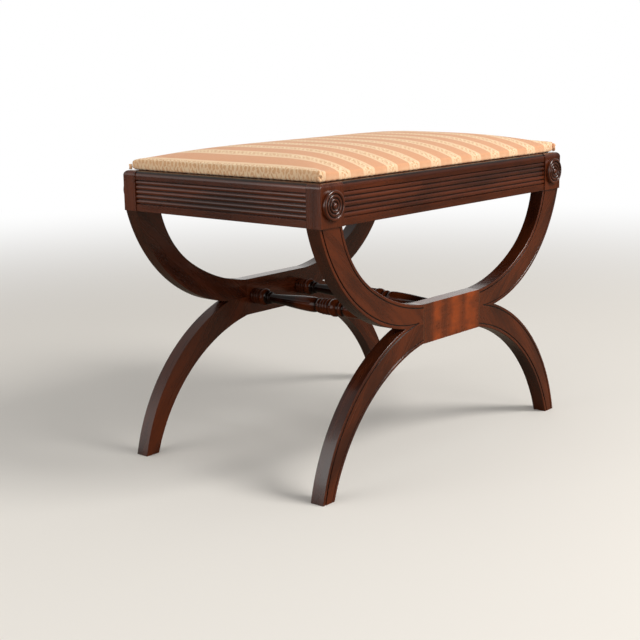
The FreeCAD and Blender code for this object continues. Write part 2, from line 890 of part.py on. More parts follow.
def build():
    os.makedirs("parts", exist_ok=True)

    arm = make_arm().cut([
        peg for peg in centre_dowels(fit_clearance, end_clearance)
    ] + [crotch_dowel(fit_clearance, end_clearance)])
    arm = arm.fuse(arm_tenon(0, 0)).removeSplitter()
    leg = make_leg().cut(
        centre_dowels(fit_clearance, end_clearance) + [crotch_dowel(fit_clearance, end_clearance)])
    for name, shape in four_corners(arm).items():
        write(name + "_arm", shape)
    for name, shape in four_corners(leg).items():
        write(name + "_leg", shape)
    for name, shape in four_corners(make_block()).items():
        write(name + "_corner_block", shape)
    for name, shape in four_corners(make_roundel()).items():
        write(name + "_roundel", shape)
    for name, shape in four_corners(make_brace()).items():
        write(name + "_corner_brace", shape)

    centre = make_centre_block()
    veneer = make_veneer()
    write("front_centre_block", centre)
    write("back_centre_block", mirrored_y(centre))
    write("front_centre_veneer", veneer)
    write("back_centre_veneer", mirrored_y(veneer))

    long_rail = make_long_rail()
    end_rail = make_end_rail()
    write("front_rail", long_rail)
    write("back_rail", mirrored_y(long_rail))
    write("right_end_rail", end_rail)
    write("left_end_rail", mirrored_x(end_rail))

    write("left_stretcher", make_stretcher(-stretcher_offset))
    write("right_stretcher", make_stretcher(stretcher_offset))

    pegs = []
    for peg in centre_dowels(0, 0) + [crotch_dowel(0, 0)]:
        pegs += list(four_corners(peg).values())
    write("frame_dowels", group(pegs))

    bits = []
    for bit in brace_screws():
        bits += list(four_corners(bit).values())
    write("brace_screws", group(bits))
    write("seat_fixing_screws", group(list(four_corners(seat_screw()).values())))

    write("seat_board", make_board())
    write("seat_foam", make_foam())
    write("seat_wadding", make_wadding())
    write("seat_cover", make_cover())
    write("dust_cover", make_dust_cover())
    write("dust_cover_tacks", group(tacks()))


build()
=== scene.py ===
import math

import bpy
import numpy as np
from mathutils import Matrix, Vector


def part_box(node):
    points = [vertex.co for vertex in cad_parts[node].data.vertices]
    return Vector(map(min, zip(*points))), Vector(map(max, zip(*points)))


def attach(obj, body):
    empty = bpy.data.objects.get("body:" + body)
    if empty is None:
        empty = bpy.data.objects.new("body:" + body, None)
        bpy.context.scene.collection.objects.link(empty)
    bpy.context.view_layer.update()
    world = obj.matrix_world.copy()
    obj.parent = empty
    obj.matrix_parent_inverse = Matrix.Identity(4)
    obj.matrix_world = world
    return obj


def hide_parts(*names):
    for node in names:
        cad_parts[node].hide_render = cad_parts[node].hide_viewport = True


bl_info = {
    "name": "X-frame stool finishes",
    "version": (1, 0, 0),
    "blender": (4, 5, 0),
    "location": "3D View > Sidebar > Stool",
    "description": "Polished mahogany, figured veneer and a striped upholstered seat for an X-frame stool",
    "category": "Object",
}

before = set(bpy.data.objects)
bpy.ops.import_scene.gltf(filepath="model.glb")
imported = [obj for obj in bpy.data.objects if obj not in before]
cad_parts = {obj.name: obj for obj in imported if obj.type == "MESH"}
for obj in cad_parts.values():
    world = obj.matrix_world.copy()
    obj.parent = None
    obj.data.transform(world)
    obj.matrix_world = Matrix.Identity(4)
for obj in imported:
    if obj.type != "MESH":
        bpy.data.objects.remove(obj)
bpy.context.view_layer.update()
PAD_LOW, PAD_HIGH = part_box("seat_cover")
RAIL_TOP = PAD_LOW.z
HALF_X, HALF_Y = PAD_HIGH.x, PAD_HIGH.y
PAD_CORNER = 0.0045  # radius of the pad's corners, in metres
CROWN_INSET = 0.003  # from the pad's side to where the crown starts
SIDES, ENDS = ("left", "right"), ("front", "back")
WHITE = (1.0, 1.0, 1.0, 1.0)

# where the camera stands and how it is turned, as worked out from the photo
CAMERA_PLACE = (-1.51960, -1.22466, 0.59539)
CAMERA_TURN, CAMERA_DIP, CAMERA_ROLL = (math.radians(a) for a in (-49.53, 11.997, -0.85))

# name, place, size, setting that holds the power, and colour
LAMPS = [
    ("key light", (1.05, -2.55, 2.50), 1.5, "key_power", (1.0, 0.97, 0.93)),
    ("front fill", (-0.3, -2.6, 0.75), 1.2, "fill_power", (1.0, 0.97, 0.93)),
    ("wall bounce", (-2.4, 0.7, 1.0), 2.0, "bounce_power", (1.0, 0.985, 0.96)),
]

# how far the grain of each kind of piece is turned about Y, and about Z for "cross"
GRAINS = {
    "long": (0.0, 0.0, 0.0),
    "cross": (0.0, 0.0, -math.pi / 2),
    "upright": (0.0, math.pi / 2, 0.0),
    "rising_right": (0.0, math.radians(41), 0.0),
    "rising_left": (0.0, math.radians(139), 0.0),
    "falling_right": (0.0, math.radians(-49), 0.0),
    "falling_left": (0.0, math.radians(-131), 0.0),
}

# light and dark bands along the veneer panel: place and lightness
VENEER_BANDS = [
    (0.0, 0.10), (0.10, 0.02), (0.135, 0.22), (0.16, 0.04), (0.22, 0.95), (0.28, 0.75),
    (0.33, 0.22), (0.44, 0.18), (0.50, 0.72), (0.58, 0.85), (0.66, 0.40), (0.72, 0.35),
    (0.78, 0.85), (0.86, 1.0), (0.93, 0.45), (0.98, 0.25),
]


# Colours, nodes and wires

def linear(red, green, blue):
    """A colour given as screen values from 0 to 255, as linear RGBA."""
    def curve(value):
        value /= 255
        return value / 12.92 if value <= 0.04045 else ((value + 0.055) / 1.055) ** 2.4
    return (curve(red), curve(green), curve(blue), 1.0)


class Wire:
    """A node's output. Sums, products and so on of wires add the math nodes that work them out."""

    def __init__(self, nodes, socket):
        self.nodes, self.socket = nodes, socket

    def __add__(self, other):
        return self.nodes.calc("ADD", self, other)

    def __sub__(self, other):
        return self.nodes.calc("SUBTRACT", self, other)

    def __rsub__(self, other):
        return self.nodes.calc("SUBTRACT", other, self)

    def __mul__(self, other):
        return self.nodes.calc("MULTIPLY", self, other)

    def __truediv__(self, other):
        return self.nodes.calc("DIVIDE", self, other)

    def __rtruediv__(self, other):
        return self.nodes.calc("DIVIDE", other, self)

    def __gt__(self, other):
        return self.nodes.calc("GREATER_THAN", self, other)

    def __lt__(self, other):
        return self.nodes.calc("LESS_THAN", self, other)

    def __abs__(self):
        return self.nodes.calc("ABSOLUTE", self)


class Nodes:
    """Adds nodes to a tree and gives their outputs as wires."""

    def __init__(self, tree):
        self.tree = tree

    def feed(self, socket, value):
        """Sets an input to a value, or links it to a wire or another node's output."""
        if isinstance(value, Wire):
            value = value.socket
        if isinstance(value, bpy.types.NodeSocket):
            self.tree.links.new(value, socket)
        else:
            socket.default_value = tuple(value) if hasattr(value, "__len__") else value

    def add(self, kind, inputs=None, **settings):
        """A node with its settings, and its inputs by number, name or identifier."""
        made = self.tree.nodes.new(kind)
        for name, value in settings.items():
            setattr(made, name, value)
        for name, value in (inputs or {}).items():
            if not isinstance(name, int):
                name = [i for i, s in enumerate(made.inputs)
                        if name in (s.name, s.identifier) and s.enabled][0]
            self.feed(made.inputs[name], value)
        return made

    def wire(self, kind, inputs=None, output=0, **settings):
        return Wire(self, self.add(kind, inputs, **settings).outputs[output])

    def calc(self, operation, *values):
        return self.wire("ShaderNodeMath", dict(enumerate(values)), operation=operation)

    def clamp(self, value):
        return self.calc("MINIMUM", self.calc("MAXIMUM", value, 0.0), 1.0)

    def vector(self, operation, *values, output=0):
        return self.wire("ShaderNodeVectorMath", dict(enumerate(values)), output,
                         operation=operation)

    def step(self, value, low, high, out_low=0.0, out_high=1.0, way="SMOOTHSTEP"):
        """Takes a value between low and high to one between out_low and out_high."""
        return self.wire("ShaderNodeMapRange", {
            "Value": value, "From Min": low, "From Max": high, "To Min": out_low,
            "To Max": out_high}, interpolation_type=way)

    def line(self, value, low, high):
        return self.step(value, low, high, way="LINEAR")

    def blend(self, share, a, b):
        made = self.add("ShaderNodeMix", {"Factor_Float": share, "A_Color": a, "B_Color": b},
                        data_type="RGBA")
        return Wire(self, [s for s in made.outputs if s.identifier == "Result_Color"][0])

    def noise(self, place, scale=1.0, detail=2.0, stretch=None, rough=0.5, output=0):
        if stretch:
            place = self.vector("MULTIPLY", place, stretch)
        return self.wire("ShaderNodeTexNoise", {
            "Vector": place, "Scale": scale, "Detail": detail, "Roughness": rough}, output)

    def place(self):
        return self.wire("ShaderNodeTexCoord", output="Object")

    def split(self, vector):
        return [Wire(self, s) for s in self.add("ShaderNodeSeparateXYZ", {0: vector}).outputs]

    def group(self, name, **inputs):
        """Places a shared group. Its inputs are named with _ for a space."""
        made = self.tree.nodes.new("ShaderNodeGroup")
        made.node_tree = bpy.data.node_groups[name]
        for title, value in inputs.items():
            self.feed(made.inputs[title.replace("_", " ")], value)
        return {s.name: Wire(self, s) for s in made.outputs}

    def grain_place(self, grain):
        """Object coordinates turned so that X runs along the grain."""
        return self.wire("ShaderNodeMapping", {
            "Vector": self.place(), "Rotation": GRAINS[grain]}, vector_type="POINT")

    def below_face(self, axis, face):
        """How far a point lies below a face square to X or Y, and how far it faces there."""
        normal = self.wire("ShaderNodeNewGeometry", output="Normal")
        facing = abs(self.split(normal)[axis])
        return face - abs(self.split(self.place())[axis]), self.step(facing, 0.15, 0.5)

    def below_turning(self, centre_x, centre_z, radius):
        """How far a point of a turned piece lies inside a radius round its axis along Y."""
        x, _, z = self.split(self.place())
        dx, dz = abs(x) - centre_x, z - centre_z
        return radius - self.calc("SQRT", dx * dx + dz * dz), 1.0


class Group(Nodes):
    """A new node group. A socket is given by its default number, or by its kind."""

    def __init__(self, name, inputs, outputs, kind="ShaderNodeTree"):
        super().__init__(bpy.data.node_groups.new(name, kind))
        for way, sockets in (("INPUT", inputs), ("OUTPUT", outputs)):
            for title, value in sockets.items():
                named = isinstance(value, str)
                label = value if named else type(value).__name__.title()
                socket = self.tree.interface.new_socket(
                    title, in_out=way, socket_type="NodeSocket" + label)
                if not named:
                    socket.default_value = value
        start = self.tree.nodes.new("NodeGroupInput")
        self.given = {s.name: Wire(self, s) for s in start.outputs}
        self.end = self.tree.nodes.new("NodeGroupOutput")

    def give(self, **results):
        for title, value in results.items():
            self.feed(self.end.inputs[title.replace("_", " ")], value)


class Finish(Nodes):
    """A new material with one Principled shader."""

    def __init__(self, name):
        self.material = bpy.data.materials.new(name)
        self.material.use_nodes = True
        super().__init__(self.material.node_tree)
        self.tree.nodes.clear()
        self.out = self.tree.nodes.new("ShaderNodeOutputMaterial")
        self.shader = self.tree.nodes.new("ShaderNodeBsdfPrincipled")
        self.feed(self.out.inputs["Surface"], self.shader.outputs["BSDF"])

    def set(self, **values):
        """Feeds the shader's inputs, named with _ for a space."""
        for title, value in values.items():
            self.feed(self.shader.inputs[title.replace("_", " ")], value)

    def bump(self, height, strength, distance, **more):
        self.set(Normal=self.wire("ShaderNodeBump", {
            "Height": height, "Strength": strength, "Distance": distance, **more}))


# Shared shader node groups

def wood_group():
    """Mahogany figure: soft ribbons, fine fibres and short open pores along the grain (X)."""
    group = Group("Mahogany Figure", {
        "Grain Place": "Vector", "Ribbon Width": 0.012, "Wave": 0.3,
    }, {"Tone": "Float", "Pores": "Float", "Relief": "Float"})
    place = group.given["Grain Place"]
    wander = group.noise(place, stretch=(7.0, 9.0, 9.0), output="Color")
    shift = group.vector("SUBTRACT", wander, (0.5, 0.5, 0.5))
    moved = group.vector("MULTIPLY_ADD", shift, group.given["Wave"] * 0.05, place)
    ribbons = group.noise(moved, 0.6 / group.given["Ribbon Width"], 3.0, (0.09, 1.0, 1.0), 0.55)
    clouds = group.noise(moved, 9.0, 1.0)
    fibres = group.noise(moved, 1.0, 3.0, (14.0, 620.0, 620.0), 0.6)
    pores = group.step(group.noise(moved, 1.0, 1.0, (120.0, 1500.0, 1500.0)), 0.60, 0.68)
    tone = group.step(ribbons * 0.62 + clouds * 0.38, 0.32, 0.68)
    group.give(Tone=group.clamp((fibres - 0.5) * 0.7 + tone), Pores=pores,
               Relief=fibres * 0.35 + pores * -0.6)


def edge_group():
    """Softened edges: the eased normal, and a mask that is 1 where polish has rubbed thin."""
    group = Group("Rubbed Edges", {"Radius": 0.0010, "Patchiness": 40.0},
                  {"Eased Normal": "Vector", "Wear": "Float"})
    eased = group.wire("ShaderNodeBevel", {"Radius": group.given["Radius"]}, samples=4)
    plain = group.wire("ShaderNodeNewGeometry", output="Normal")
    facing = group.vector("DOT_PRODUCT", eased, plain, output="Value")
    patches = group.noise(group.place(), group.given["Patchiness"], 4.0)
    group.give(Eased_Normal=eased,
               Wear=group.step(facing, 0.985, 0.80) * group.step(patches, 0.42, 0.62))


def hollow_group():
    """Dark polish and painted shade in grooves and hollows: a mask that grows with the depth below the
    face.
    """
    group = Group("Dark Polish", {"Below Face": 0.0, "Full Depth": 0.002, "Facing": 1.0},
                  {"Mask": "Float"})
    share = group.given["Below Face"] / group.given["Full Depth"]
    # the second step leaves out the far side of the piece
    deep = group.step(share, 0.18, 0.85) * group.step(share, 4.5, 3.0)
    uneven = group.noise(group.place(), 60.0, 3.0) * 0.5 + 0.65
    group.give(Mask=group.calc("MINIMUM", deep * uneven * group.given["Facing"], 1.0))


def weave_group():
    """Woven cloth: a fine crossing of threads as a height, and a slubby unevenness."""
    group = Group("Woven Threads", {"Cloth Place": "Vector", "Thread": 0.0006, "Slub": 0.5},
                  {"Height": "Float", "Unevenness": "Float"})
    place = group.given["Cloth Place"]
    turn = math.pi / group.given["Thread"]
    warp, weft = (abs(group.calc("SINE", way * turn)) for way in group.split(place)[:2])
    slubs = group.noise(place, stretch=(900.0, 220.0, 300.0))
    group.give(Height=group.calc("MAXIMUM", warp, weft) + (slubs - 0.5) * group.given["Slub"],
               Unevenness=slubs)


# Materials

def polished_mahogany(title, grain, settings, hollows=None, depth=0.002, ease=1.0, gloss=1.0,
                      shine=1.0, sides=0.0):
    """French-polished mahogany with its grain along one way, dark polish and painted shade in its grooves,
    and, where sides is given, painted shade on its curved sides.
    """
    made = Finish("Polished mahogany, " + title)
    figure = made.group("Mahogany Figure", Grain_Place=made.grain_place(grain),
                        Ribbon_Width=settings.ribbon_width, Wave=settings.grain_wave)
    rubbed = made.group("Rubbed Edges", Radius=settings.edge_ease * ease)
    colour = made.blend(figure["Tone"], settings.dark_colour, settings.light_colour)
    colour = made.blend(figure["Pores"] * 0.55, colour, linear(30, 12, 7))
    colour = made.blend(rubbed["Wear"] * settings.edge_wear, colour, linear(120, 66, 38))
    # painted shade: grooves and hollows are darkened with their depth below the face, together with some
    # real dark polish
    if hollows:
        below, facing = hollows(made)
        dark = made.group("Dark Polish", Below_Face=below, Full_Depth=depth, Facing=facing)
        colour = made.blend(dark["Mask"] * settings.groove_dark, colour, linear(12, 5, 3))
    if sides:
        # painted shade: the curved sides of arms and legs are painted darker than their faces
        facing = made.below_face(1, 0.0)[1]
        colour = made.blend((1.0 - facing) * sides, colour, linear(20, 8, 5))
    rough = figure["Tone"] * 0.06 + settings.roughness / gloss
    made.set(Base_Color=colour, Roughness=rubbed["Wear"] * 0.15 + rough, IOR=1.45,
             Coat_Weight=0.45 * shine, Coat_Roughness=0.10, Specular_IOR_Level=0.5 * shine)
    made.bump(figure["Relief"], 0.10, 0.0004, Normal=rubbed["Eased Normal"])
    return made.material


def figured_veneer(settings):
    """Flame-figured veneer: upright light and dark bands, with cross ripples and fine fibres."""
    made = Finish("Figured mahogany veneer")
    place = made.place()
    figure = made.group("Mahogany Figure", Grain_Place=made.grain_place("upright"),
                        Ribbon_Width=0.006, Wave=0.35)
    sway = made.noise(place, stretch=(18.0, 1.0, 26.0))
    x = made.split(place)[0]
    half = settings.half_length
    ramp = made.add("ShaderNodeValToRGB", {
        "Fac": made.line((sway - 0.5) * 0.010 + x, -half, half)})
    ramp.color_ramp.interpolation = "B_SPLINE"
    first, last = ramp.color_ramp.elements
    first.position, first.color = 0.0, (VENEER_BANDS[0][1],) * 3 + (1.0,)
    last.position, last.color = 1.0, (0.2, 0.2, 0.2, 1.0)
    for at, value in VENEER_BANDS[1:]:
        ramp.color_ramp.elements.new(at).color = (value, value, value, 1.0)
    bands = Wire(made, ramp.outputs["Color"])
    ripple = made.noise(place, detail=3.0, stretch=(60.0, 1.0, 190.0))
    flame = made.noise(place, stretch=(30.0, 1.0, 42.0))
    swing = (ripple - 0.5) * (bands * 1.1 + 0.25)
    light = bands * made.step(flame, 0.30, 0.62, 0.55, 1.1) + swing
    light = made.clamp((figure["Tone"] - 0.5) * 0.22 + light)
    colour = made.blend(light, settings.dark_band, settings.light_band)
    colour = made.blend(figure["Pores"] * 0.4, colour, linear(45, 18, 8))
    from_end = half - abs(x)
    for low, high, share, shade in ((0.0026, 0.0010, 0.55, linear(30, 13, 7)),
                                    (0.0008, 0.0003, 0.6, linear(150, 96, 66))):
        colour = made.blend(made.step(from_end, low, high, 0.0, share), colour, shade)
    made.set(Base_Color=colour, Roughness=light * 0.05 + 0.26, Coat_Weight=0.5,
             Coat_Roughness=0.14)
    made.bump(figure["Relief"], 0.08, 0.0003)
    return made.material


def plain_wood(name, dark, light, width):
    """Unpolished wood for the pieces inside the seat."""
    made = Finish(name)
    figure = made.group("Mahogany Figure", Grain_Place=made.grain_place("long"),
                        Ribbon_Width=width, Wave=0.5)
    made.set(Base_Color=made.blend(figure["Tone"], dark, light),
             Roughness=figure["Tone"] * 0.1 + 0.6)
    made.bump(figure["Relief"], 0.3, 0.0005)
    return made.material


def steel(name, tint):
    """Dull steel with fine spots of tarnish and uneven roughness."""
    made = Finish(name)
    spots = made.noise(made.place(), 420.0, 3.0)
    made.set(Base_Color=made.blend(made.step(spots, 0.45, 0.7), tint, linear(88, 74, 60)),
             Roughness=spots * 0.3 + 0.25, Metallic=1.0)
    made.bump(spots, 0.15, 0.0002)
    return made.material


def striped_cloth(settings):
    """Woven seat cloth. Its UV map holds places on the cloth in metres: u across the stripes."""
    made = Finish("Striped seat cloth")
    cloth = made.wire("ShaderNodeUVMap", uv_map="cloth")
    u, v, _ = made.split(cloth)
    threads = made.group("Woven Threads", Cloth_Place=cloth, Thread=settings.thread)
    wander = made.noise(cloth, detail=1.0, stretch=(2.0, 9.0, 0.0))
    turns = ((wander - 0.5) * 0.0022 + u - settings.first_band) / settings.pitch
    across = (made.calc("FRACT", turns + 0.5) - 0.5) * settings.pitch
    away = abs(across)
    half = settings.band_width / 2

    def rule(centre, width):
        return made.step(abs(away - centre), width / 2 + 0.0002, width / 2 - 0.0002)

    def sine(value, length):
        return made.calc("SINE", value * (2 * math.pi / length))

    in_band = made.step(away, half + 0.0003, half - 0.0003)
    in_braid = made.step(away, half * 0.62, half * 0.56)
    loose = made.split(made.noise(cloth, 210.0, 2.0, output="Color"))
    side = (loose[0] - 0.5) * 0.0062 + across
    along = (loose[1] - 0.5) * 0.0100 + v
    swing = along * (2 * math.pi / settings.braid_length)
    strands = [made.step(abs(side - made.calc("SINE", swing + phase) * (half * 0.36)),
                         0.0021, 0.0009) for phase in (0.0, math.pi)]
    leaves = abs(made.calc("SINE", swing * 2.0 + 0.8))
    leaf = made.step(abs(away - half * 0.50), 0.0016, 0.0006) * made.step(leaves, 0.45, 0.8)
    braid = made.calc("MAXIMUM", made.calc("MAXIMUM", *strands), leaf * 0.8)
    dots = abs(sine(along, 0.0052) * sine(side, 0.0044))
    specks = made.step(dots, 0.45, 0.8) * ((1.0 - braid) * in_braid)

    ground = made.blend(threads["Unevenness"], settings.salmon_deep, settings.salmon)
    band = made.blend(threads["Unevenness"], settings.gold, settings.gold_pale)
    band = made.blend(in_braid, band, made.blend(braid, settings.gold_deep, settings.cream))
    band = made.blend(specks * 0.42, band, settings.speck)
    rules = made.calc("MAXIMUM", rule(half - 0.0007, 0.0011), rule(half - 0.0029, 0.0008))
    rules = made.calc("MAXIMUM", rules, rule(half * 0.66, 0.0007))
    colour = made.blend(in_band, ground, made.blend(rules, band, settings.cream))
    x, y, level = made.split(made.place())
    # painted light: the lower roll along the front and back, and the cloth over both ends, are painted
    # paler as if more brightly lit; fade sets how much
    low_part = made.step(level, RAIL_TOP + 0.0125, RAIL_TOP + 0.0045)
    outer = made.step(abs(y), HALF_Y - 0.007, HALF_Y - 0.002)
    end_part = made.step(abs(x), HALF_X - 0.006, HALF_X - 0.001)
    colour = made.blend(low_part * outer * settings.fade, colour, linear(252, 207, 166))
    colour = made.blend(end_part * settings.fade, colour, linear(255, 206, 160))
    made.set(Base_Color=colour, Roughness=in_band * 0.12 + 0.58, Sheen_Weight=0.10,
             Sheen_Roughness=0.5, Specular_IOR_Level=0.2)
    made.bump(threads["Height"] * 0.35 + in_band * (braid * 0.5 + 0.4), 0.5, 0.0005)
    return made.material


def lining_cloth():
    """Thin black lining cloth."""
    made = Finish("Black lining cloth")
    threads = made.group("Woven Threads", Cloth_Place=made.place(), Thread=0.0012, Slub=1.2)
    made.set(Roughness=0.9, Base_Color=made.blend(
        threads["Unevenness"], linear(20, 19, 20), linear(44, 42, 43)))
    made.bump(threads["Height"], 0.4, 0.0004)
    return made.material


# Settings

def colour_setting(name, description, default):
    return bpy.props.FloatVectorProperty(name=name, description=description, subtype="COLOR",
                                         size=4, min=0, max=1, default=default)


def number_setting(name, description, default, lowest=0.0, **more):
    return bpy.props.FloatProperty(name=name, description=description, default=default,
                                   min=lowest, **more)


def length_setting(name, description, default, lowest=0.001):
    return number_setting(name, description, default, lowest, unit="LENGTH")


class StoolStageSettings(bpy.types.PropertyGroup):
    floor_colour: colour_setting("Floor", "Colour of the floor", (0.82, 0.795, 0.755, 1.0))
    bounce_colour: colour_setting(
        "Floor to the stool", "Colour of the floor that lights the stool",
        (0.17, 0.135, 0.10, 1.0))
    key_power: number_setting("Key light", "Power of the soft key light", 85.0, unit="POWER")
    fill_power: number_setting(
        "Fill power", "Power of the lamp in front, in watts", 12.0, unit="POWER")
    bounce_power: number_setting(
        "Wall bounce", "Power of the soft light from the left", 16.0, unit="POWER")
    sky: number_setting("Room light", "Strength of the even light of the room", 0.48)
    focal_length: number_setting(
        "Focal length", "Lens of the camera, in millimetres", 71.274, 10.0,
        subtype="DISTANCE_CAMERA", unit="CAMERA")


class StoolPolishSettings(bpy.types.PropertyGroup):
    dark_colour: colour_setting("Dark grain", "Darkest wood colour", linear(62, 25, 10))
    light_colour: colour_setting("Light grain", "Lightest wood colour", linear(102, 44, 16))
    ribbon_width: length_setting(
        "Ribbon width", "Width of the light and dark ribbons of the grain", 0.011)
    grain_wave: number_setting("Grain wave", "How much the grain wanders", 0.4)
    edge_ease: length_setting(
        "Edge ease", "Radius that worn edges are softened by", 0.0011, 0.0001)
    edge_wear: number_setting("Edge wear", "Strength of the rubbed edges", 0.35, max=1)
    # this setting scales the painted shade, with some real dark polish, in grooves and hollows
    groove_dark: number_setting(
        "Groove dark", "Strength of the dark polish in the grooves", 1.0, max=1)
    roughness: number_setting("Roughness", "Dullness of the polish", 0.24, max=1)


class StoolTurningSettings(bpy.types.PropertyGroup):
    neck: length_setting("Neck", "Radius of the neck of the vase", 0.0076)
    vase: length_setting("Vase", "Largest radius of the vase", 0.0120)
    ring: length_setting("Ring", "Radius of the large rings", 0.0140)
    thin_ring: length_setting("Thin ring", "Radius of the thin rings", 0.0129)
    bead: length_setting("Bead", "Radius of the small beads", 0.0098)


class StoolVeneerSettings(bpy.types.PropertyGroup):
    dark_band: colour_setting("Dark band", "Dark figure of the veneer", linear(84, 36, 13))
    light_band: colour_setting("Light band", "Light figure of the veneer", linear(158, 68, 18))
    half_length: length_setting(
        "Half length", "Half the length of the panel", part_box("front_centre_veneer")[1].x,
        0.01)


class StoolSeatSettings(bpy.types.PropertyGroup):
    salmon: colour_setting("Salmon", "Satin stripe", linear(237, 179, 138))
    salmon_deep: colour_setting(
        "Deep salmon", "Satin stripe between the threads", linear(224, 163, 120))
    gold: colour_setting("Gold", "Ground of the gold bands", linear(240, 195, 151))
    gold_pale: colour_setting(
        "Pale gold", "Lighter threads of the gold bands", linear(247, 209, 168))
    gold_deep: colour_setting("Deep gold", "Eyes of the braid", linear(233, 184, 138))
    cream: colour_setting("Cream", "Raised threads and thin lines", linear(254, 227, 190))
    speck: colour_setting("Specks", "Dark threads between the strands", linear(190, 134, 88))
    # painted light: fade sets how much paler the cloth is painted along the front, back and ends, as if
    # more brightly lit
    fade: number_setting("Fade", "How pale the cloth is rubbed along the front and back",
                         0.62, max=1)
    pitch: length_setting("Stripe pitch", "From one gold band to the next", 0.05145, 0.005)
    band_width: length_setting("Band width", "Width of a gold band", 0.0238, 0.002)
    first_band: length_setting(
        "First band", "Place of the gold band at the left edge", -0.2921, -1.0)
    braid_length: length_setting(
        "Braid length", "Length of one twist of the braid", 0.0150, 0.002)
    thread: length_setting("Thread", "Width of a thread", 0.0006, 0.0001)
    crown_rise: length_setting(
        "Crown rise", "From the rolled edge to the highest point", 0.0232, 0.0)
    edge_height: length_setting(
        "Edge height", "Height of the rolled edge above the rails", 0.0108, 0.002)
    end_roll: length_setting(
        "End roll", "How much fuller the roll is along both ends", 0.0058, 0.0)
    corner_drop: length_setting(
        "Corner drop", "How much lower the roll is at the back corners", 0.0065, 0.0)
    voxel: length_setting("Mesh step", "Size of the cloth's mesh", 0.0042, 0.002)
    swell: length_setting(
        "Swell", "Most that a point may move in the simulation", 0.0030, 0.0)


class StoolUndersideSettings(bpy.types.PropertyGroup):
    sag: length_setting("Sag", "How far the lining hangs in its middle", 0.0022, 0.0)
    tack_radius: length_setting("Tack radius", "Radius of a tack's head", 0.0025, 0.0005)


# Objects and meshes

def new_object(name, data):
    made = bpy.data.objects.new(name, data)
    bpy.context.scene.collection.objects.link(made)
    return made


def new_piece(name, points, faces):
    """A piece of the stool that rides on its one body."""
    mesh = bpy.data.meshes.new(name)
    mesh.from_pydata([tuple(p) for p in points], [], faces)
    mesh.validate()
    mesh.update()
    piece = new_object(name, mesh)
    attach(piece, "root")
    return piece


def finish(material, *node_names):
    for name in node_names:
        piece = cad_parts[name]
        piece.data.materials.clear()
        piece.data.materials.append(material)


def bake(piece, material):
    """Turns the evaluated piece into its plain mesh and drops its modifiers."""
    graph = bpy.context.evaluated_depsgraph_get()
    graph.update()
    old, made = piece.data, bpy.data.meshes.new_from_object(piece.evaluated_get(graph))
    piece.modifiers.clear()
    piece.data = made
    bpy.data.meshes.remove(old)
    made.name = piece.name
    made.materials.clear()
    made.materials.append(material)
    if not len(made.polygons):
        raise RuntimeError("Nothing is left of " + piece.name)


def grow(name, group, values, material, points=()):
    """Runs a geometry tree once and keeps its result as the plain mesh of a new piece."""
    piece = new_piece(name, points, [])
    way = piece.modifiers.new("grow", "NODES")
    way.node_group = group.tree
    values["Material"] = material
    for item in group.tree.interface.items_tree:
        if item.in_out == "INPUT" and item.name in values:
            way[item.identifier] = values[item.name]
    bake(piece, material)
    return piece


def give_shape(group, geometry):
    """Ends a geometry tree: instances made real, with the material set."""
    whole = group.wire("GeometryNodeRealizeInstances", {"Geometry": geometry})
    group.give(Geometry=group.wire("GeometryNodeSetMaterial", {
        "Geometry": whole, "Material": group.given["Material"]}))


def smooth(piece, test=lambda face: True):
    for face in piece.data.polygons:
        face.use_smooth = test(face)


def read(items, name, width=1, kind=float):
    """One value, or one row of values, for each vertex, face or corner of a mesh."""
    values = np.empty(len(items) * width, dtype=kind)
    items.foreach_get(name, values)
    return values.reshape(-1, width) if width > 1 else values


# Stage

